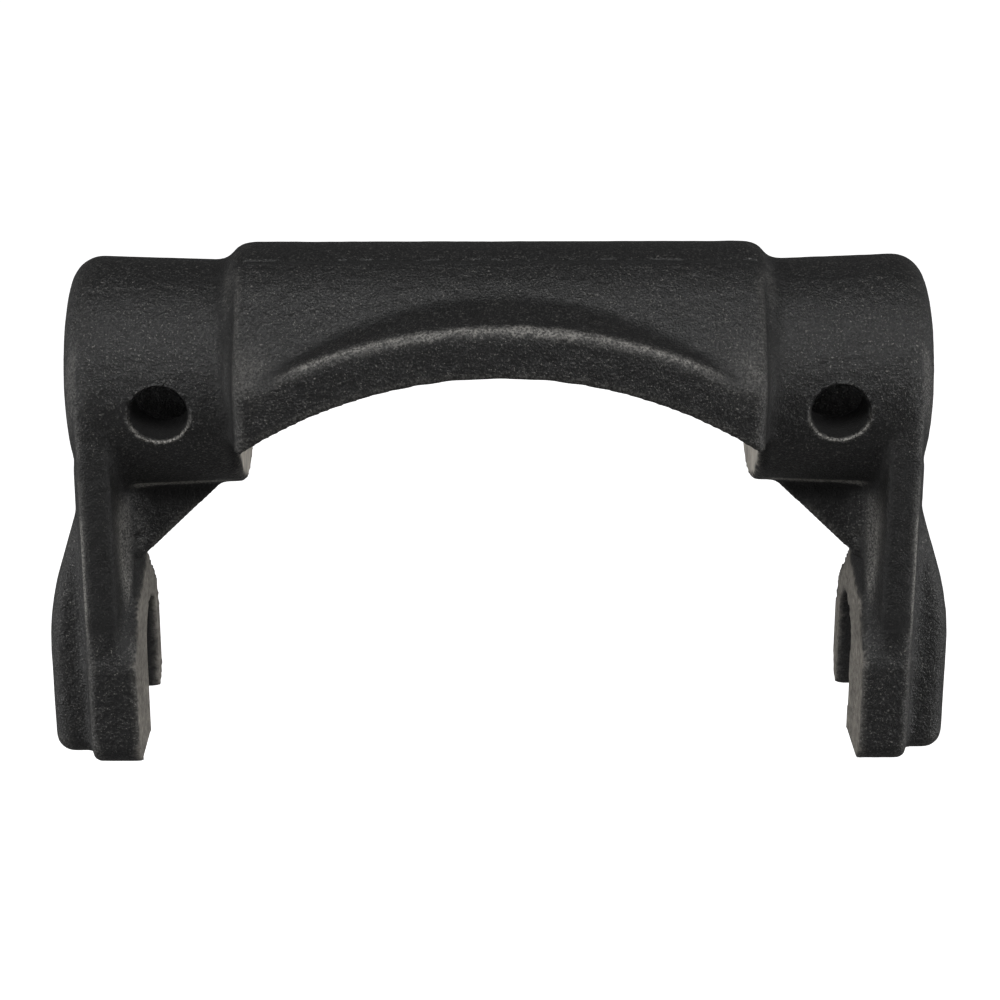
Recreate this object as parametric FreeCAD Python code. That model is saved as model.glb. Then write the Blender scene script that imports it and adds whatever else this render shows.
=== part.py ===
import FreeCAD, Part
import math
import os

V = FreeCAD.Vector

# Clutch shift fork: one iron casting that straddles a release bearing.
# Origin on the axis of the shaft bore, halfway between the two bosses.
# X runs along the bore, Y away from the arched face, Z up. Millimetres.

# How far parts reach into each other, and cutters past the faces they cut
overlap = 1.0
clear = 10.0

# Shaft bore and the two bosses that carry it
bore_d = 25.0
bore_chamfer = 1.0
boss_face_x = 52.4
boss_end_x = 87.4
boss_end_r = 24.1
boss_draft_deg = 2.0
boss_end_round = 6.0
boss_face_lip = 0.7

# Cross holes for the lock screws, through both walls of each boss
lock_hole_d = 12.0
lock_hole_x = 68.1
lock_hole_chamfer = 0.9

# Bridge: a half-tube concentric with the bore, with a sloped front flange
bridge_r = 26.6
bridge_wall = 9.3
bridge_front_y = -30.0
bridge_brow_z = 5.1
bridge_brow_deg = 54.0
bridge_brow_bulge = 0.55
bridge_brow_round = 2.5
bridge_back_deg = 37.0
bridge_foot_z = -16.0

# Shoulders: how the bridge comes down to the bosses, as shares of the run
# outwards, of the drop of its top and of the retreat of its front
shoulder_run = 7.6
shoulder_lap = 4.7
shoulder_inset = 0.3
shoulder_stations = (
    (0.0, (0.0, 0.0)), (0.30, (0.05, 0.03)), (0.58, (0.32, 0.48)), (0.80, (0.76, 0.94)), (1.0, (1.0, 1.0)),
)
bridge_half = boss_face_x + shoulder_lap - shoulder_run

# Arch cut through under the bridge, and the rib that follows it in front
arch_r = 93.7
arch_top_z = 7.1
rib_height = 10.7
rib_chamfer = 1.4
rib_half_deg = 27.0
rib_ledge_deg = 11.0
rib_ledge_back_y = -18.8
rib_blend_sag = 0.35

# Legs: a plate below the outer end of each boss
leg_inner_x = 78.5
leg_outer_x = 85.4
leg_front_y = -23.4
leg_edge_round = 1.8

# Hook at the foot of each leg, with its machined pad facing inwards
pad_x = 75.0
hook_front_y = -24.1
pad_back_y = 17.8
hook_foot_z = -79.6
hook_far_foot_z = -77.1
hook_toe_r = 5.0
hook_heel_r = 5.0
hook_top_z = -40.0
hook_ramp_rise = 13.0
hook_ramp_sag = 2.4
hook_brow_run = 5.4
hook_brow_drop = 10.0
hook_brow_bulge = 0.9
hook_cheek_drop = 17.0
slot_width = 18.0
slot_y = 2.8
slot_crown_z = -51.8
slot_wrap_deg = 52.0

# Outer swell that thickens the hook
swell_x = 93.6
swell_neck_x = 86.8
swell_neck_z = -24.7
swell_top_z = -15.0
swell_corner_z = -46.5
swell_belly_r = 60.0
swell_inset = 3.5
swell_foot_gap = 0.5
swell_root = 6.0
swell_round = 3.8
swell_back_inset = 0.5

# Gusset web between the boss and the leg
web_front_y = -8.4
web_back_y = 1.1
web_start_x = 59.4
web_start_z = -23.6
web_toe_z = -38.7
web_flare_r = 5.0


def ray(radius, degrees):
    """A point of the YZ plane at a polar angle that starts at +Y."""
    angle = math.radians(degrees)
    return (radius * math.cos(angle), radius * math.sin(angle))


def path_face(steps, place):
    """A face from a closed path: ("to", point) is a line and
    ("arc", middle, point) an arc; the first step is the start point."""
    start = steps[0]
    here = start
    edges = []
    for step in steps[1:] + [("to", start)]:
        there = step[-1]
        if math.dist(here, there) < 1e-6:
            continue
        if step[0] == "arc":
            edges.append(Part.Arc(place(here), place(step[1]), place(there)).toShape())
        else:
            edges.append(Part.LineSegment(place(here), place(there)).toShape())
        here = there
    return Part.Face(Part.Wire(edges))


def corner_arc(before, corner, after, radius):
    """The two tangent points and the middle of a rounding at a corner."""
    def unit(point):
        length = math.dist(point, corner)
        return ((point[0] - corner[0]) / length, (point[1] - corner[1]) / length)

    u = unit(before)
    w = unit(after)
    half = math.acos(max(-1.0, min(1.0, u[0] * w[0] + u[1] * w[1]))) / 2
    run = radius / math.tan(half)
    bisector = (u[0] + w[0], u[1] + w[1])
    size = math.hypot(*bisector)
    deep = radius / math.sin(half) - radius
    first = (corner[0] + u[0] * run, corner[1] + u[1] * run)
    last = (corner[0] + w[0] * run, corner[1] + w[1] * run)
    middle = (corner[0] + bisector[0] / size * deep, corner[1] + bisector[1] / size * deep)
    return first, middle, last


def bowed(start, end, bulge):
    """Middle of an arc that stands off its chord, on the left of its run."""
    share = bulge / math.dist(start, end)
    return (
        (start[0] + end[0]) / 2 - (end[1] - start[1]) * share,
        (start[1] + end[1]) / 2 + (end[0] - start[0]) * share,
    )


def yz(x):
    return lambda p: V(x, p[0], p[1])


def xz(y):
    return lambda p: V(p[0], y, p[1])


def near(a, b):
    return abs(a - b) < 0.05


def round_edges(shape, radius, test):
    """Round every edge of the shape that the test picks."""
    return shape.makeFillet(radius, [edge for edge in shape.Edges if test(edge)])


def boss_radius(x):
    """Cast radius of the boss, which tapers towards its inner face."""
    return boss_end_r - (boss_end_x - x) * math.tan(math.radians(boss_draft_deg))


def boss():
    """Right-hand boss: a drafted barrel with a rounded outer corner."""
    rim = corner_arc(
        (boss_face_x, boss_radius(boss_face_x)), (boss_end_x, boss_end_r),
        (boss_end_x, 0.0), boss_end_round,
    )
    lip_x = boss_face_x + boss_face_lip
    profile = [
        (boss_face_x, 0.0), ("to", (boss_face_x, boss_radius(boss_face_x) - boss_face_lip)),
        ("to", (lip_x, boss_radius(lip_x))),
        ("to", rim[0]), ("arc", rim[1], rim[2]), ("to", (boss_end_x, 0.0)),
    ]
    return path_face(profile, xz(0.0)).revolve(V(0, 0, 0), V(1, 0, 0), 360)


def bridge_wire(x, sink):
    """Outer section of the bridge at one station along X. Its top sinks by
    sink[0] and its front by sink[1], from 0 at full size to 1 at the boss."""
    root_r = boss_radius(x) - shoulder_inset
    r = bridge_r + (root_r - bridge_r) * sink[0]
    root_foot = -math.sqrt(root_r ** 2 - bridge_foot_z ** 2)
    front = bridge_front_y + (-root_r - bridge_front_y) * sink[1]
    foot = (bridge_front_y + (root_foot - bridge_front_y) * sink[1], bridge_foot_z)
    back = ray(r, -bridge_back_deg)
    brow = ray(r, 180.0 - bridge_brow_deg)
    corner = (front, bridge_brow_z)
    nose_round = bridge_brow_round + (boss_end_r / 2 - bridge_brow_round) * sink[1]
    nose = corner_arc(brow, corner, foot, nose_round)
    middle = bowed(nose[0], brow, bridge_brow_bulge)
    steps = [
        back, ("arc", ray(r, 90.0), brow), ("arc", middle, nose[0]),
        ("arc", nose[1], nose[2]), ("to", foot),
    ]
    return path_face(steps, yz(x)).OuterWire


def bridge():
    """Bridge body: straight between the shoulders, lofted down at each end."""
    wires = [
        bridge_wire(bridge_half + shoulder_run * run, sink) for run, sink in shoulder_stations
    ]
    end = Part.makeLoft(wires, True, False)
    middle = Part.Face(bridge_wire(-bridge_half, (0.0, 0.0)))
    middle = middle.extrude(V(2 * bridge_half, 0, 0))
    return middle.fuse([end, end.mirror(V(0, 0, 0), V(1, 0, 0))])


def arch_centre_z():
    return arch_top_z - arch_r


def arch_rib():
    """Rib along the arch, turned about the arch's axis: a flat front face,
    a chamfered top edge, a shallow ledge and a hollow blend into the bridge."""
    top_r = arch_r + rib_height
    brow = ray(bridge_r, 180.0 - bridge_brow_deg)
    brow_r = brow[1] - arch_centre_z()
    ledge_front_y = bridge_front_y + rib_chamfer
    rise = (rib_ledge_back_y - ledge_front_y) * math.tan(math.radians(rib_ledge_deg))
    ledge_back = (rib_ledge_back_y, top_r + rise)
    blend = bowed(ledge_back, (brow[0], brow_r), -rib_blend_sag)
    inside_y = -bridge_r + bridge_wall + overlap
    steps = [
        (inside_y, arch_r), ("to", (bridge_front_y, arch_r)),
        ("to", (bridge_front_y, top_r - rib_chamfer)), ("to", (ledge_front_y, top_r)),
        ("to", ledge_back), ("arc", blend, (brow[0], brow_r)), ("to", (inside_y, brow_r - overlap)),
    ]
    face = path_face(steps, lambda p: V(0, p[0], arch_centre_z() + p[1]))
    face.rotate(V(0, 0, arch_centre_z()), V(0, 1, 0), -rib_half_deg)
    return face.revolve(V(0, 0, arch_centre_z()), V(0, 1, 0), 2 * rib_half_deg)


def arch_cutter():
    depth = 4 * bridge_r
    return Part.makeCylinder(arch_r, depth, V(0, -depth / 2, arch_centre_z()), V(0, 1, 0))


def channel_cutter():
    """Hollow under the bridge, wide enough for the shaft to pass."""
    r = bridge_r - bridge_wall
    length = 2 * boss_face_x
    tube = Part.makeCylinder(r, length, V(-boss_face_x, 0, 0), V(1, 0, 0))
    below = Part.makeBox(length, 2 * r, bridge_r, V(-boss_face_x, -r, -bridge_r))
    return tube.fuse(below)


def slot_centre_z():
    return slot_crown_z - slot_width / 2


def slot_cutter():
    """Open-ended slot of the hook, round at its crown."""
    half = slot_width / 2
    reach = swell_x - pad_x + 2 * clear
    start = pad_x - clear
    crown = Part.makeCylinder(half, reach, V(start, slot_y, slot_centre_z()), V(1, 0, 0))
    mouth_z = hook_foot_z - clear
    mouth = Part.makeBox(
        reach, slot_width, slot_centre_z() - mouth_z, V(start, slot_y - half, mouth_z),
    )
    return crown.fuse(mouth)


def foot_outline(front, back, foot, far_foot):
    """Lower outline shared by the layers of the hook: toe, foot and heel."""
    toe = corner_arc((front, 0.0), (front, foot), (slot_y, foot), hook_toe_r)
    heel = corner_arc((slot_y, far_foot), (back, far_foot), (back, 0.0), hook_heel_r)
    return [
        ("to", toe[0]), ("arc", toe[1], toe[2]), ("to", (slot_y, foot)),
        ("to", (slot_y, far_foot)), ("to", heel[0]), ("arc", heel[1], heel[2]),
    ]


def front_edge(x):
    """Picks the long front edge of a leg layer at one X. Its rounding runs
    on round the toe to the slot."""
    def test(edge):
        box = edge.BoundBox
        long = near(box.XMin, x) and near(box.XMax, x) and box.ZLength > hook_toe_r + overlap
        return long and near(box.YLength, 0) and box.YMax < slot_y - slot_width / 2 - overlap
    return test


def back_edge(x):
    """Picks the long back edges of the leg plate at one X. Their rounding
    runs on round the heel to the slot."""
    def test(edge):
        box = edge.BoundBox
        long = near(box.XMin, x) and near(box.XMax, x) and box.ZLength > hook_heel_r + overlap
        return long and box.YMin > slot_y + slot_width / 2 + overlap
    return test


def leg_plate():
    """Plate from the boss to the hook, tangent to the boss behind it."""
    boss_r = boss_radius(leg_inner_x)
    bend = (pad_back_y, slot_centre_z())
    lean = math.atan2(-bend[1], bend[0]) - math.acos(boss_r / math.hypot(*bend))
    tangent = (boss_r * math.cos(lean), -boss_r * math.sin(lean))
    outline = foot_outline(leg_front_y, pad_back_y, hook_foot_z, hook_far_foot_z)
    steps = [(leg_front_y, 0.0)] + outline + [("to", bend), ("to", tangent), ("to", (0.0, 0.0))]
    plate = path_face(steps, yz(leg_inner_x)).extrude(V(leg_outer_x - leg_inner_x, 0, 0))
    plate = plate.cut(slot_cutter())
    for x in (leg_inner_x, leg_outer_x):
        plate = round_edges(plate, leg_edge_round, front_edge(x))
        plate = round_edges(plate, leg_edge_round, back_edge(x))
    return plate


def hook_block():
    """Block that stands inwards from the plate and carries the pad. It grows
    out of the web on a hollow ramp and wraps round the crown of the slot."""
    ramp_top = (web_front_y, hook_top_z + hook_ramp_rise)
    brow = (hook_front_y + hook_brow_run, hook_top_z - hook_brow_drop)
    cheek = (hook_front_y, hook_top_z - hook_cheek_drop)

    def wrap(degrees):
        step = ray(pad_back_y - slot_y, degrees)
        return (slot_y + step[0], slot_centre_z() + step[1])

    outline = foot_outline(hook_front_y, pad_back_y, hook_foot_z, hook_far_foot_z)
    steps = [
        ramp_top, ("arc", bowed(ramp_top, brow, hook_ramp_sag), brow),
        ("arc", bowed(brow, cheek, -hook_brow_bulge), cheek),
    ] + outline + [
        ("to", wrap(0.0)), ("arc", wrap(slot_wrap_deg / 2), wrap(slot_wrap_deg)),
        ("to", (web_back_y, hook_top_z)),
    ]
    block = path_face(steps, yz(pad_x)).extrude(V(leg_outer_x - pad_x, 0, 0))
    return round_edges(block.cut(slot_cutter()), leg_edge_round, front_edge(leg_outer_x))


def swell():
    """Outer thickening of the hook: its side outline crossed with its ramp."""
    front = leg_front_y + swell_inset
    back = pad_back_y - swell_back_inset
    foot = hook_foot_z + swell_foot_gap
    far_foot = hook_far_foot_z + swell_foot_gap
    inside_x = leg_outer_x - swell_root
    outline = foot_outline(front, back, foot, far_foot)
    steps = [(front, swell_top_z)] + outline + [("to", (back, swell_top_z))]
    layer = path_face(steps, yz(inside_x)).extrude(V(swell_x, 0, 0)).cut(slot_cutter())
    neck = (swell_neck_x, swell_neck_z)
    belly = corner_arc(neck, (swell_x, swell_corner_z), (swell_x, foot), swell_belly_r)
    ramp = path_face(
        [
            (inside_x, swell_top_z), ("to", (swell_neck_x, swell_top_z)), ("to", neck),
            ("to", belly[0]), ("arc", belly[1], belly[2]), ("to", (swell_x, foot)),
            ("to", (inside_x, foot)),
        ],
        xz(2 * front),
    ).extrude(V(0, 2 * (back - front), 0))

    def outer_rim(edge):
        box = edge.BoundBox
        outside = box.XMin > leg_outer_x and box.ZMin < swell_neck_z + overlap
        return outside and near(box.YLength, 0) and (near(box.YMin, front) or near(box.YMax, back))

    return round_edges(layer.common(ramp), swell_round, outer_rim)


def gusset_web():
    """Web under the boss: a triangle seen from the front, flared at the leg."""
    slope = (web_start_z - web_toe_z) / (pad_x - web_start_x)
    inside_z = (web_start_z - bore_d / 2) / 2
    inside_x = web_start_x - (inside_z - web_start_z) / slope
    root_x = leg_outer_x - overlap
    below = hook_top_z - web_flare_r
    front_view = path_face(
        [
            (inside_x, inside_z), ("to", (pad_x, web_toe_z)), ("to", (pad_x, below)),
            ("to", (root_x, below)), ("to", (root_x, inside_z)),
        ],
        xz(2 * hook_front_y),
    ).extrude(V(0, -4 * hook_front_y, 0))
    lean = web_flare_r * (1 - math.sqrt(0.5))
    flare_x = leg_inner_x - web_flare_r
    plan = path_face(
        [
            (bridge_half, web_front_y), ("to", (flare_x, web_front_y)),
            ("arc", (leg_inner_x - lean, web_front_y - lean), (leg_inner_x, web_front_y - web_flare_r)),
            ("to", (root_x, web_front_y - web_flare_r)), ("to", (root_x, web_back_y + web_flare_r)),
            ("to", (leg_inner_x, web_back_y + web_flare_r)),
            ("arc", (leg_inner_x - lean, web_back_y + lean), (flare_x, web_back_y)),
            ("to", (bridge_half, web_back_y)),
        ],
        lambda p: V(p[0], p[1], hook_foot_z),
    ).extrude(V(0, 0, -hook_foot_z))
    return front_view.common(plan)


def lock_hole_cutter():
    reach = 2 * bridge_r
    return Part.makeCylinder(
        lock_hole_d / 2, reach, V(lock_hole_x, -reach / 2, 0), V(0, 1, 0),
    )


def side():
    """Everything on the right of the bridge, with its slot and cross hole."""
    body = boss().fuse([leg_plate(), hook_block(), gusset_web(), swell()])
    body = body.cut([slot_cutter(), lock_hole_cutter()]).removeSplitter()

    def hole_mouth(edge):
        box = edge.BoundBox
        middle = (box.XMin + box.XMax) / 2
        return near(middle, lock_hole_x) and near(box.XLength, lock_hole_d)

    mouths = [edge for edge in body.Edges if hole_mouth(edge)]
    return body.makeChamfer(lock_hole_chamfer, mouths)


def shaft_bore_cutter():
    """Straight bore with a chamfer at each outer mouth."""
    reach = 2 * boss_end_x
    bore = Part.makeCylinder(bore_d / 2, reach, V(-boss_end_x, 0, 0), V(1, 0, 0))
    wide = bore_d / 2 + bore_chamfer
    mouth = Part.makeCone(
        bore_d / 2, wide, bore_chamfer, V(boss_end_x - bore_chamfer, 0, 0), V(1, 0, 0),
    )
    return bore.fuse([mouth, mouth.mirror(V(0, 0, 0), V(1, 0, 0))])


def fork():
    right = side()
    left = right.mirror(V(0, 0, 0), V(1, 0, 0))
    span = bridge().fuse(arch_rib()).cut(arch_cutter()).cut(channel_cutter())
    return span.fuse([right, left]).cut(shaft_bore_cutter()).removeSplitter()


os.makedirs("parts", exist_ok=True)
shift_fork = fork().Solids[0]
shift_fork.exportStep("parts/shift_fork.step")
print("valid", shift_fork.isValid(), "volume", round(shift_fork.Volume))
print("centre of mass", shift_fork.CenterOfMass)
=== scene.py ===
import math

import bmesh
import bpy
import numpy as np
from mathutils import Matrix, Vector, noise
from mathutils.bvhtree import BVHTree
from mathutils.kdtree import KDTree


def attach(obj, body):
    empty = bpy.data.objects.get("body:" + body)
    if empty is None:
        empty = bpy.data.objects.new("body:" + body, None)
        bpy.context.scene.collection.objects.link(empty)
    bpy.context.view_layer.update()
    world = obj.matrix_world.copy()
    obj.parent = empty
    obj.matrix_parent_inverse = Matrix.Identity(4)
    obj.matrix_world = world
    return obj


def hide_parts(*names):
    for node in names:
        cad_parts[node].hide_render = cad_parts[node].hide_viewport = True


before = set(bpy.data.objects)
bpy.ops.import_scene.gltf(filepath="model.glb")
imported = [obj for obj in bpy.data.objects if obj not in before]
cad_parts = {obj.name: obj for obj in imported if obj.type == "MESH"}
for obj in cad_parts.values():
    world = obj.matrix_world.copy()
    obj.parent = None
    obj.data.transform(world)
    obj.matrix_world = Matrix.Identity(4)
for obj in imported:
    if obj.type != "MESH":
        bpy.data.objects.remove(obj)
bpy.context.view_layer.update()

MM = 0.001

# Forms of the casting that its finish follows, in millimetres and degrees
PAD_X = 75.0
PAD_CORNER_Y = -14.5
PAD_CORNER_Z = -46.5
BOSS_FACE_X = 52.4
SHAFT_BORE_R = 12.5
LOCK_HOLE_X = 68.1
LOCK_HOLE_R = 6.0
LOCK_HOLE_LEAN_DEG = 5.5
LOCK_HOLE_CHAMFER = 0.9
BARREL_INSIDE_R = 20.0
BARREL_OUTSIDE_R = 25.0
CREASE_X = 53.8
WEB_FRONT_Y = -8.4
SLOT_Y = 2.8
SLOT_HALF = 9.3
SLOT_TOP_Z = -51.0
RIB_FACE_Y = -30.0
JOINT_Y = -7.6
ARCH_CENTRE_Z = -86.6
RIB_TOP_R = 104.4
FOOT_Z = -79.6

# Size of the faces of the skin, and rounds that fill its inner corners
SKIN_STEP = 0.92
FILL_ROUNDS = 24


def srgb(hex_colour):
    """Linear colour, with alpha 1, from an sRGB hex value."""
    parts = [int(hex_colour[i:i + 2], 16) / 255 for i in (1, 3, 5)]
    linear = [p / 12.92 if p <= 0.04045 else ((p + 0.055) / 1.055) ** 2.4 for p in parts]
    return (*linear, 1.0)


def add_node(tree, kind, settings=None, values=None, links=None):
    """A node with its settings, its own values and its links."""
    node = tree.nodes.new(kind)
    for name, value in (settings or {}).items():
        setattr(node, name, value)
    for name, value in (values or {}).items():
        node.inputs[name].default_value = value
    for name, socket in (links or {}).items():
        tree.links.new(socket, node.inputs[name])
    return node


def ramp(tree, factor, stops):
    """A colour ramp with one stop for each position and colour."""
    node = add_node(tree, "ShaderNodeValToRGB", links={"Fac": factor})
    elements = node.color_ramp.elements
    while len(elements) < len(stops):
        elements.new(0.5)
    for element, (position, colour) in zip(elements, stops):
        element.position = position
        element.color = colour
    return node.outputs["Color"]


def grey(value):
    return (value, value, value, 1.0)


def cast_iron():
    """Grey cast iron, moulded in sand, shot blasted and blacked. The eye sees
    a dark matt skin with a fine sand grain, a dull sheen where the light is
    square to it, pale sparks where grains are rubbed bare, and greyer bare
    iron on the milled pads and boss faces."""
    material = bpy.data.materials.new("blacked cast iron")
    material.use_nodes = True
    tree = material.node_tree
    shader = tree.nodes["Principled BSDF"]
    place = add_node(tree, "ShaderNodeTexCoord").outputs["Object"]

    def painted(name):
        return add_node(tree, "ShaderNodeAttribute", {"attribute_name": name}).outputs["Fac"]

    def clouds(size_mm, detail, roughness):
        return add_node(
            tree, "ShaderNodeTexNoise",
            values={"Scale": 1 / (size_mm * MM), "Detail": detail, "Roughness": roughness},
            links={"Vector": place},
        ).outputs["Fac"]

    def mix(kind, factor, a, b):
        node = add_node(tree, "ShaderNodeMix", {"data_type": "RGBA", "blend_type": kind})
        for index, given in ((0, factor), (6, a), (7, b)):
            if isinstance(given, (float, tuple)):
                node.inputs[index].default_value = given
            else:
                tree.links.new(given, node.inputs[index])
        return node.outputs[2]

    def sums(operation, a, b):
        node = add_node(tree, "ShaderNodeMath", {"operation": operation})
        for index, given in ((0, a), (1, b)):
            if isinstance(given, float):
                node.inputs[index].default_value = given
            else:
                tree.links.new(given, node.inputs[index])
        return node.outputs[0]

    milled = painted("milled")
    boss_face_highlight = painted("boss_face_highlight")
    rubbed_and_highlight = painted("rubbed_and_highlight")
    painted_shade = painted("painted_shade")
    seam = painted("seam")

    # Sand grain of half a millimetre on a coarser peel, and slow soot clouds
    grain = clouds(0.45, 2.0, 0.65)
    peel = clouds(2.4, 2.0, 0.5)
    soot = clouds(16.0, 3.0, 0.55)

    skin = ramp(tree, grain, [
        (0.36, srgb("#020202")), (0.49, srgb("#090909")),
        (0.59, srgb("#1b1b1b")), (0.70, srgb("#4d4c4a")),
    ])
    skin = mix("MULTIPLY", 1.0, skin, ramp(tree, soot, [(0.35, grey(0.72)), (0.65, grey(1.0))]))

    # Rubbed edges and single sparks show thin blacking over iron. The same mask also carries painted
    # highlights, drawn as pale iron.
    wear_and_highlight = sums("MULTIPLY", rubbed_and_highlight, ramp(tree, grain, [(0.40, grey(0.15)), (0.58, grey(1.0))]))
    sparks = ramp(tree, clouds(0.42, 1.0, 0.5), [(0.68, grey(0.0)), (0.74, grey(1.0))])
    iron = ramp(tree, rubbed_and_highlight, [(0.0, srgb("#6d6b67")), (0.75, srgb("#7a7874")), (1.0, srgb("#c9c6bf"))])
    skin = mix("MIX", sums("MULTIPLY", wear_and_highlight, 0.85), skin, iron)
    skin = mix("MIX", sums("MULTIPLY", sparks, 0.9), skin, srgb("#6d6b67"))

    # Painted shade, near black, in the inner corners, creases, slots, lock holes, under the bosses and
    # on the legs, and sand in the joint of the mould
    skin = mix("MIX", sums("MULTIPLY", painted_shade, 0.9), skin, srgb("#020202"))
    skin = mix("MIX", seam, skin, srgb("#030303"))

    # Milled iron under a brown film of oil. The boss faces get a paler copy of it as a painted
    # highlight
    cut = clouds(1.1, 3.0, 0.6)
    bare = ramp(tree, cut, [(0.3, srgb("#5f5b55")), (0.5, srgb("#8b867e")), (0.7, srgb("#aaa59d"))])
    stains = ramp(tree, clouds(5.0, 3.0, 0.6), [
        (0.38, grey(0.72)), (0.56, grey(1.0)), (0.68, grey(1.25)),
    ])
    bare = mix("MULTIPLY", 1.0, bare, stains)
    bare = mix("MIX", boss_face_highlight, bare, mix("MULTIPLY", 1.0, srgb("#f0e9dd"), stains))
    colour = mix("MIX", milled, skin, bare)
    tree.links.new(colour, shader.inputs["Base Color"])

    rough = add_node(
        tree, "ShaderNodeMapRange",
        values={"From Min": 0.3, "From Max": 0.75, "To Min": 0.56, "To Max": 0.38},
        links={"Value": grain},
    ).outputs["Result"]
    rough = sums("MAXIMUM", rough, sums("MAXIMUM", seam, sums("MULTIPLY", painted_shade, 0.85)))
    tree.links.new(rough, shader.inputs["Roughness"])

    relief = sums("ADD", sums("MULTIPLY", grain, 0.6), sums("MULTIPLY", peel, 0.8))
    bump = add_node(
        tree, "ShaderNodeBump", values={"Strength": 1.0, "Distance": 0.55 * MM},
        links={"Height": relief},
    ).outputs["Normal"]
    tree.links.new(bump, shader.inputs["Normal"])
    return material


def even_skin(cad, step):
    """The solid as one closed skin of small even faces."""
    raw = bpy.data.objects.new("raw solid", cad.data.copy())
    bpy.context.scene.collection.objects.link(raw)
    facing = raw.modifiers.new("even faces", "REMESH")
    facing.mode = "VOXEL"
    facing.voxel_size = step * MM
    seen = raw.evaluated_get(bpy.context.evaluated_depsgraph_get())
    mesh = bpy.data.meshes.new_from_object(seen)
    bpy.data.objects.remove(raw)
    mesh.name = "cast skin"

    # Smaller faces along the joint of the mould and round the lock holes
    form = bmesh.new()
    form.from_mesh(mesh)

    def on_joint(x, y, z):
        return abs(y - JOINT_Y) < 1.3 and z > 20 and abs(x) < BOSS_FACE_X

    def on_mouth(x, y, z):
        ring = math.hypot(abs(x) - LOCK_HOLE_X, z)
        return math.hypot(y, z) > BARREL_INSIDE_R and -0.7 < ring - LOCK_HOLE_R < 2.2

    for wanted, cuts in ((on_joint, 3), (on_mouth, 2)):
        strip = [face for face in form.faces if wanted(*(face.calc_center_median() / MM))]
        rim = list({edge for face in strip for edge in face.edges})
        bmesh.ops.subdivide_edges(form, edges=rim, cuts=cuts, use_grid_fill=True)
    form.to_mesh(mesh)
    form.free()
    return mesh


class Skin:
    """Points of the skin in millimetres, with what lies round each of them."""

    def __init__(self, mesh):
        self.mesh = mesh
        count = len(mesh.vertices)
        flat = np.empty(count * 3, np.float32)
        mesh.vertices.foreach_get("co", flat)
        self.points = flat.reshape(-1, 3).astype(float) / MM
        ends = np.empty(len(mesh.edges) * 2, np.int32)
        mesh.edges.foreach_get("vertices", ends)
        self.a, self.b = ends.reshape(-1, 2).T
        self.valence = np.bincount(self.a, minlength=count) + np.bincount(self.b, minlength=count)

    def around(self, values):
        """Average of a value over the neighbours of each point."""
        columns = values.reshape(len(self.points), -1).T
        total = [
            np.bincount(self.a, column[self.b], len(self.points))
            + np.bincount(self.b, column[self.a], len(self.points))
            for column in columns
        ]
        return (np.array(total).T / self.valence[:, None]).reshape(values.shape)

    def pull(self):
        """Way from each point to the middle of its neighbours."""
        return self.around(self.points) - self.points

    def write(self):
        self.mesh.vertices.foreach_set("co", (self.points * MM).astype(np.float32).ravel())
        self.mesh.update()

    def normals(self):
        self.write()
        flat = np.empty(len(self.points) * 3, np.float32)
        self.mesh.vertices.foreach_get("normal", flat)
        return flat.reshape(-1, 3).astype(float)

    def hollowness(self):
        """How deep each point lies below its neighbours, negative on edges."""
        return np.einsum("ij,ij->i", self.pull(), self.normals())

    def keep(self, name, values):
        layer = self.mesh.attributes.new(name, "FLOAT", "POINT")
        layer.data.foreach_set("value", values.astype(np.float32))


def clouds_at(points, size_mm, seed):
    """Smooth noise of about that size, from -1 to 1, at each point."""
    shift = Vector((seed * 17.3, seed * 5.9, seed * 11.7))
    return np.array([noise.noise(Vector(p) / size_mm + shift) for p in points])


def step_up(values, low, high):
    """Smooth step from 0 at low to 1 at high."""
    t = np.clip((values - low) / (high - low), 0.0, 1.0)
    return t * t * (3 - 2 * t)


def band(values, low, high, soft):
    """1 from low to high, with a soft margin outside both."""
    return step_up(values, low - soft, low) * (1 - step_up(values, high, high + soft))


def sharp_edges(cad, least_deg, gap):
    """Search tree of points along the sharp edges of the solid, in mm."""
    form = bmesh.new()
    form.from_mesh(cad.data)
    bmesh.ops.remove_doubles(form, verts=form.verts, dist=0.001 * MM)
    runs = []
    for edge in form.edges:
        if len(edge.link_faces) == 2 and edge.calc_face_angle() > math.radians(least_deg):
            a, b = (np.array(end.co) / MM for end in edge.verts)
            count = 2 + int(np.linalg.norm(b - a) / gap)
            runs.append(a + (b - a) * np.linspace(0, 1, count)[:, None])
    form.free()
    points = np.concatenate(runs)
    tree = KDTree(len(points))
    for index, point in enumerate(points):
        tree.insert(point, index)
    tree.balance()
    return tree


def onto_solid(skin, solid):
    """Nearest points of the solid, in mm, and the directions it faces there."""
    nearest = [solid.find_nearest(Vector(p) * MM) for p in skin.points]
    return np.array([hit[0] for hit in nearest]) / MM, np.array([hit[1] for hit in nearest])


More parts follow.
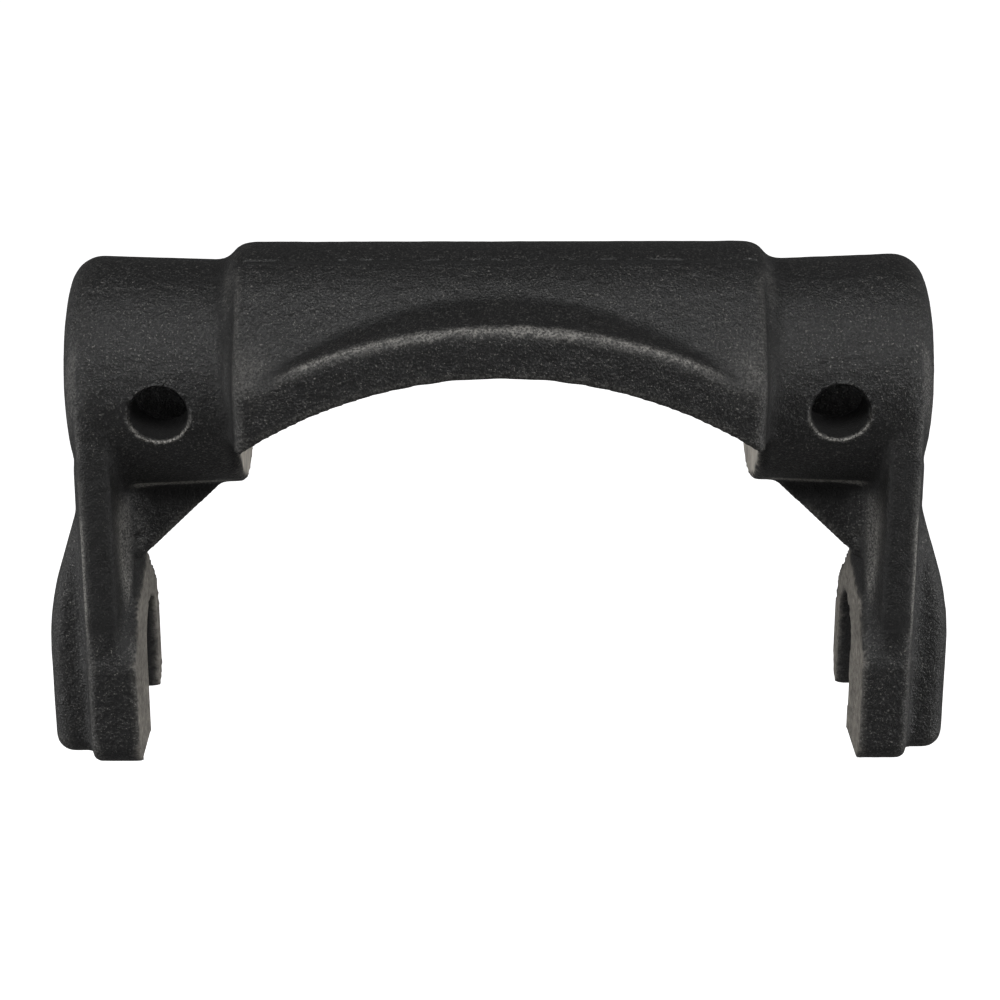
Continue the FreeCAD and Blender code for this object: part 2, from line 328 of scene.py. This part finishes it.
class Places:
    """Where the points of the skin lie on the solid, and on which of its
    forms. X counts outwards on both sides."""

    def __init__(self, points, faces):
        self.points = points
        self.faces = faces
        self.x = np.abs(points[:, 0])
        self.y, self.z = points[:, 1], points[:, 2]
        self.from_axis = np.hypot(self.y, self.z)
        self.ring = np.hypot(self.x - LOCK_HOLE_X, self.z)
        along_x = np.abs(faces[:, 0]) > 0.9
        pad_plane = along_x & (np.abs(self.x - PAD_X) < 0.1)

        # The milling stops at a dark, hollow corner above each pad
        back = self.y - PAD_CORNER_Y
        self.above = self.z - PAD_CORNER_Z - np.minimum(0.28 * back, 1.08 * back)
        self.corner = pad_plane & (self.above > 0) & (self.y < 1)
        pads = pad_plane & ~self.corner

        self.boss_faces = along_x & (np.abs(self.x - BOSS_FACE_X) < 0.1)
        bore = (np.abs(self.from_axis - SHAFT_BORE_R) < 0.2) & (self.x > BOSS_FACE_X)
        lock_hole = self.ring < LOCK_HOLE_R + 1.2
        self.milled = (pads | self.boss_faces).astype(float)
        self.true = (pads | self.boss_faces | bore | lock_hole).astype(float)


def settle(skin, cad):
    """Evens the skin out on the solid, carries the points near its sharp
    edges onto them, and gives their places."""
    solid = BVHTree.FromObject(cad, bpy.context.evaluated_depsgraph_get())
    edges = sharp_edges(cad, 24, 0.1)
    for _ in range(3):
        skin.points += 0.5 * skin.pull()
        skin.points = onto_solid(skin, solid)[0]
    found = [edges.find(p) for p in skin.points]
    close = np.array([hit[2] for hit in found]) < 0.5 * SKIN_STEP
    skin.points[close] = np.array([hit[0] for hit in found])[close]
    return Places(*onto_solid(skin, solid))


def lean_lock_holes(points):
    """Turns the mouths of the lock holes down at the front, about the shaft,
    and draws their chamfers in. The barrel round them keeps its form."""
    x, y, z = points.T
    from_axis = np.hypot(y, z)
    lift = np.degrees(np.arctan2(np.abs(z), np.abs(y)))
    across = np.abs(x) - LOCK_HOLE_X
    radius = np.maximum(np.hypot(across, z), 0.1)
    mouth_r = LOCK_HOLE_R + LOCK_HOLE_CHAMFER
    draw_in = 0.25 + 0.35 * step_up(radius, LOCK_HOLE_R, mouth_r)
    draw_in *= 1 - step_up(radius, mouth_r, LOCK_HOLE_R + 3)
    draw_in *= from_axis > SHAFT_BORE_R + 0.1
    share = 1 - draw_in / radius
    x_new = np.sign(x) * (LOCK_HOLE_X + across * share)
    z_new = z * share
    y_new = np.sign(y) * np.sqrt(np.maximum(from_axis ** 2 - z_new ** 2, 0))
    weight = (1 - step_up(np.abs(across), 7.2, 9.6)) * (1 - step_up(lift, 24, 46))
    angle = math.radians(LOCK_HOLE_LEAN_DEG) * weight * (from_axis < BARREL_OUTSIDE_R)
    near = np.abs(across) < 10
    points[near, 0] = x_new[near]
    points[near, 1] = (y_new * np.cos(angle) - z_new * np.sin(angle))[near]
    points[near, 2] = (y_new * np.sin(angle) + z_new * np.cos(angle))[near]


def round_and_fill(skin, at):
    """The sand rounds every edge a little and fills the inner corners, most
    of all the hollow between leg and web. Milled faces and bores stay true."""
    loose = 1.0 - at.true
    for _ in range(2):
        skin.points += 0.5 * loose[:, None] * skin.pull()
    x, y, z = skin.points.T
    between = (np.abs(x) > 71) & (z < -20) & (z > -62) & (y < 10)
    fill = np.where(between, 1.0, 0.35)
    for _ in range(FILL_ROUNDS):
        pull = skin.pull()
        inward = np.einsum("ij,ij->i", pull, skin.normals())
        hollow = step_up(inward, 0.002, 0.03) * fill * loose
        skin.points += 0.5 * hollow[:, None] * pull

    # Calm the step where the hook's block leaves the web
    x, y, z = skin.points.T
    calm = band(np.abs(x), 74, 77.5, 1.5) * step_up(-y, 7.0, 8.6) * (1 - step_up(-y, 15, 19))
    calm *= step_up(-z, 22, 26) * (1 - step_up(-z, 40, 46)) * loose
    for _ in range(FILL_ROUNDS):
        skin.points += 0.8 * calm[:, None] * skin.pull()

    held = at.true > 0.5
    skin.points[held] = at.points[held]
    sunk = at.corner * np.clip(0.3 * at.above, 0, 1.2)
    skin.points[:, 0] += np.sign(skin.points[:, 0]) * sunk
    lean_lock_holes(skin.points)


def mark_by_mould(skin, at):
    """Waves of the mould, lumps on the rib's face, the broken groove where
    the halves of the mould met, and a crease round each boss at the foot of
    the shoulder. Gives the crease."""
    loose = 1.0 - at.true
    normals = skin.normals()
    turn = np.abs(skin.hollowness())
    free = skin.around(loose) * loose * (1.0 - step_up(skin.around(turn), 0.02, 0.08))
    waves = 0.07 * clouds_at(skin.points, 9.0, 1) + 0.04 * clouds_at(skin.points, 2.4, 2)
    rib_face = step_up(-skin.points[:, 1], -RIB_FACE_Y - 1.5, -RIB_FACE_Y - 0.4)
    rib_face *= np.abs(skin.points[:, 0]) < BOSS_FACE_X
    lumps = 0.16 * clouds_at(skin.points, 3.6, 3) + 0.10 * clouds_at(skin.points, 6.0, 4)
    skin.points += ((waves + rib_face * lumps) * free)[:, None] * normals

    along = skin.points * [1, 0, 0]
    line = JOINT_Y + 0.35 * clouds_at(along, 11.0, 5)
    breaks = clouds_at(along, 3.1, 6) + 0.6 * clouds_at(skin.points, 1.2, 7)
    seam = (1 - step_up(np.abs(skin.points[:, 1] - line), 0.2, 0.5)) * step_up(breaks, 0.04, 0.18)
    seam *= (skin.points[:, 2] > 24) & (np.abs(skin.points[:, 0]) < BOSS_FACE_X)
    skin.points -= (0.45 * seam)[:, None] * normals
    skin.keep("seam", seam)

    crease = np.exp(-((at.x - CREASE_X) / 0.7) ** 2) * band(at.z, -14, 21, 3)
    crease *= (at.from_axis > BARREL_INSIDE_R) * loose
    skin.points -= (0.7 * crease)[:, None] * normals
    return crease


def wear_and_highlight_places(skin, at):
    """Where the blacking is rubbed thin or never took well, and where highlights are painted on as pale
    iron, from 0 to 1.
    """
    x, y, z, faces = at.x, at.y, at.z, at.faces

    # Outward edges, the neck of the swell most of all
    edge = skin.around(-skin.hollowness())
    inner_leg = (x < 82) & (x > 76) & (y < -18) & (z > -56)
    neck = (x > 84) & (y < -14) & (z > -32) & (z < -16)
    edges = (0.35 + 0.5 * neck) * step_up(edge, 0.02, 0.08) * (1.0 - inner_leg)
    edges *= (at.ring > LOCK_HOLE_R + 3) | (at.from_axis < SHAFT_BORE_R)

    # Painted highlight on the lower half of the lock holes' chamfers
    chamfer_highlight = band(at.ring, LOCK_HOLE_R + 0.15, LOCK_HOLE_R + 0.85, 0.2)
    chamfer_highlight *= (at.from_axis > BARREL_INSIDE_R) * (1 - step_up(z, -3, 2))

    # The rib's top edge, broadest in the middle: worn, with a painted highlight along it
    reach = np.hypot(at.points[:, 0], z - ARCH_CENTRE_Z)
    half = 0.75 - 0.35 * np.minimum(x / 40, 1)
    rib_edge_wear_and_highlight = band(RIB_TOP_R - reach, 0.75 - half, 0.75 + half, 0.3)
    rib_edge_wear_and_highlight *= (y < RIB_FACE_Y + 1.6) & (faces[:, 1] < -0.3) & (faces[:, 1] > -0.95)
    rib_edge_wear_and_highlight *= 1 - step_up(x, 38, 47)

    # The outer edge of the legs: worn, with a painted highlight along it
    turn_out = np.degrees(np.arctan2(np.abs(faces[:, 0]), -faces[:, 1]))
    leg_edge_wear_and_highlight = band(turn_out, 33, 62, 8) * (x > 82) * (y < -20) * (z > -72)
    leg_edge_wear_and_highlight *= 0.35 + 0.65 * band(z, -48, -26, 6)

    # Painted highlights beside the shoulders and along the lip where the bosses
    # meet the webs, and a painted reflection in the hollow above the hooks
    def highlight_patch(cx, cz, wide, tall):
        return np.exp(-((x - cx) / wide) ** 2 - ((z - cz) / tall) ** 2)

    spread = 2 + 0.25 * np.maximum(z + 44, 0)
    hollow = np.exp(-((y + 13.5) / spread) ** 2) * band(z, -44, -29, 9) * band(x, 77.4, 79, 0.8)
    lip_highlight = band(at.from_axis, 22.5, 24, 0.5) * band(y, -11.4, -9.4, 0.5) * (z < -17)
    painted_highlights = 0.40 * highlight_patch(50, 7.5, 4.5, 4.5) * (y < -20) + 0.35 * highlight_patch(54.5, 22, 0.9, 4.5) * (y < -6)
    painted_highlights += 0.8 * hollow + 0.9 * lip_highlight * band(x, 56, 75, 3)
    return np.maximum.reduce([edges, 0.9 * chamfer_highlight, 0.8 * rib_edge_wear_and_highlight, leg_edge_wear_and_highlight, painted_highlights])


def corner_painted_shade(skin, at):
    """Painted shade in the inner corners, though not above the hooks, from 0 to 1."""
    painted_shade = step_up(skin.hollowness(), 0.01, 0.06)
    for _ in range(3):
        painted_shade = np.maximum(painted_shade, 0.9 * skin.around(painted_shade))
    return painted_shade * ((at.x < 60) | (at.z > -24))


def painted_shade_places(at, shaded_corners, crease):
    """All painted shade: in the corners, on the legs, above the pads, in the slots,
    under the bosses, in the lock holes and in the creases."""
    x, y, z = at.x, at.y, at.z
    # Painted shade on the fronts of the legs, with a darker line near their foot, and on the ramps
    # above the pads
    legs = (0.7 * band(z, -49, -12, 3) + 0.2 * band(z, -49.5, -46, 1)) * ((y < -22) & (x > 77))
    ramps = 0.7 * band(x, 75, 76.8, 0.8) * ((y < -9) & (y > -21)) * band(z, -50, -34, 3)
    upper = np.maximum.reduce([shaded_corners, legs, ramps, 0.5 * at.corner]) * (at.ring > LOCK_HOLE_R + 3)
    slots = (np.abs(y - SLOT_Y) < SLOT_HALF) & (z < SLOT_TOP_Z) & (x > PAD_X + 0.2)
    slots = slots & (np.abs(at.faces[:, 0]) < 0.5)
    under_boss = (np.abs(y - WEB_FRONT_Y) < 0.6) & (z > -27) & (x < 74)
    holes = at.ring < LOCK_HOLE_R + 0.1
    return np.maximum.reduce([upper, 0.85 * slots, 0.9 * under_boss, 0.9 * holes, crease])


def cast_fork():
    """The casting: rounded as the sand leaves it, with its milled faces and
    bores left flat and true."""
    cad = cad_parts["shift_fork"]
    mesh = even_skin(cad, SKIN_STEP)
    skin = Skin(mesh)
    at = settle(skin, cad)
    shaded_corners = corner_painted_shade(skin, at)
    round_and_fill(skin, at)
    crease = mark_by_mould(skin, at)

    # Wear and painted highlights, kept as a value that pales the colour
    skin.keep("rubbed_and_highlight", wear_and_highlight_places(skin, at) * (1.0 - at.milled))
    # Painted shade, kept as a value that darkens the colour
    skin.keep("painted_shade", skin.around(painted_shade_places(at, shaded_corners, crease)) * (1.0 - at.milled))
    skin.keep("milled", skin.around(at.milled) * 0.5 + at.milled * 0.5)
    # Boss faces, which get a painted highlight
    skin.keep("boss_face_highlight", at.boss_faces)
    skin.write()

    mesh.shade_smooth()
    mesh.materials.clear()
    mesh.materials.append(cast_iron())
    piece = bpy.data.objects.new("cast_fork", mesh)
    bpy.context.scene.collection.objects.link(piece)
    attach(piece, "root")
    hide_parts("shift_fork")


def seen_directly(tree):
    """1 for what the camera sees, straight or through glass."""
    path = add_node(tree, "ShaderNodeLightPath").outputs
    return add_node(
        tree, "ShaderNodeMath", {"operation": "MAXIMUM"},
        links={0: path["Is Camera Ray"], 1: path["Is Transmission Ray"]},
    ).outputs[0]


def floor():
    """Plain pale studio floor, well below the fork that hangs on its shaft."""
    half = 6.0
    z = FOOT_Z * MM - 0.22
    corners = [(-half, -half, z), (half, -half, z), (half, half, z), (-half, half, z)]
    mesh = bpy.data.meshes.new("studio floor")
    mesh.from_pydata(corners, [], [(0, 1, 2, 3)])
    material = bpy.data.materials.new("matt white board")
    material.use_nodes = True
    tree = material.node_tree
    tree.nodes.clear()
    seen = seen_directly(tree)
    tone = ramp(tree, seen, [(0.0, srgb("#868686")), (1.0, srgb("#e6e6e6"))])
    board = add_node(tree, "ShaderNodeBsdfDiffuse", links={"Color": tone}).outputs[0]
    most = add_node(tree, "ShaderNodeMath", {"operation": "MULTIPLY"}, {1: 0.9}, {0: seen})
    lift = add_node(
        tree, "ShaderNodeEmission", values={"Color": grey(1.0)}, links={"Strength": most.outputs[0]},
    ).outputs[0]
    both = add_node(tree, "ShaderNodeAddShader", links={0: board, 1: lift}).outputs[0]
    add_node(tree, "ShaderNodeOutputMaterial", links={"Surface": both})
    mesh.materials.append(material)
    piece = bpy.data.objects.new("studio_floor", mesh)
    bpy.context.scene.collection.objects.link(piece)


def surroundings():
    """Studio round the fork: a white backdrop behind and at the sides, and a
    dim room in front and below. The eye sees the backdrop as white."""
    world = bpy.data.worlds.new("studio")
    bpy.context.scene.world = world
    world.use_nodes = True
    tree = world.node_tree
    tree.nodes.clear()
    way = add_node(tree, "ShaderNodeTexCoord").outputs["Generated"]
    across = add_node(tree, "ShaderNodeSeparateXYZ", links={"Vector": way}).outputs
    side = add_node(tree, "ShaderNodeMath", {"operation": "ABSOLUTE"}, links={0: across["X"]})
    glow = add_node(
        tree, "ShaderNodeMapRange", {"interpolation_type": "SMOOTHSTEP"},
        {"From Min": 0.55, "From Max": 1.0, "To Min": 0.11, "To Max": 1.0},
        {"Value": side.outputs[0]},
    ).outputs["Result"]
    seen = seen_directly(tree)
    strength = add_node(tree, "ShaderNodeMath", {"operation": "MAXIMUM"}, links={0: seen, 1: glow})
    light = add_node(
        tree, "ShaderNodeBackground", values={"Color": grey(1.0)},
        links={"Strength": strength.outputs[0]},
    )
    add_node(tree, "ShaderNodeOutputWorld", links={"Surface": light.outputs[0]})


def softbox(name, elevation, azimuth, distance, size, watts):
    """A square soft light that faces the fork."""
    lamp = bpy.data.lights.new(name, "AREA")
    lamp.shape = "SQUARE"
    lamp.size = size
    lamp.energy = watts
    piece = bpy.data.objects.new(name, lamp)
    up = math.radians(elevation)
    turn = math.radians(azimuth)
    aim = Vector((math.sin(turn) * math.cos(up), -math.cos(turn) * math.cos(up), math.sin(up)))
    piece.location = aim * distance
    piece.rotation_euler = (-aim).to_track_quat("-Z", "Y").to_euler()
    bpy.context.scene.collection.objects.link(piece)


def camera():
    """Camera at the photograph's angle, a little above the fork."""
    lens = bpy.data.cameras.new("camera")
    lens.sensor_width = 36
    lens.lens = 93.6
    lens.clip_start = 0.01
    piece = bpy.data.objects.new("camera", lens)
    tilt = math.radians(20.0)
    yaw = math.radians(0.605)
    ahead = Vector((math.sin(yaw) * math.cos(tilt), math.cos(yaw) * math.cos(tilt), -math.sin(tilt)))
    right = Vector((math.cos(yaw), -math.sin(yaw), 0))
    place = Matrix((right, right.cross(ahead), -ahead)).transposed().to_4x4()
    place.translation = Vector((-0.0052, -0.5167, 0.1593))
    piece.matrix_world = place
    bpy.context.scene.collection.objects.link(piece)
    bpy.context.scene.camera = piece


bpy.context.scene.view_settings.view_transform = "Standard"
cast_fork()
floor()
surroundings()
softbox("overhead softbox", 51, 0, 1.0, 0.38, 7.8)
softbox("left fill", -14, -80, 1.0, 0.45, 5.0)
softbox("right fill", -14, 80, 1.0, 0.45, 5.0)
camera()
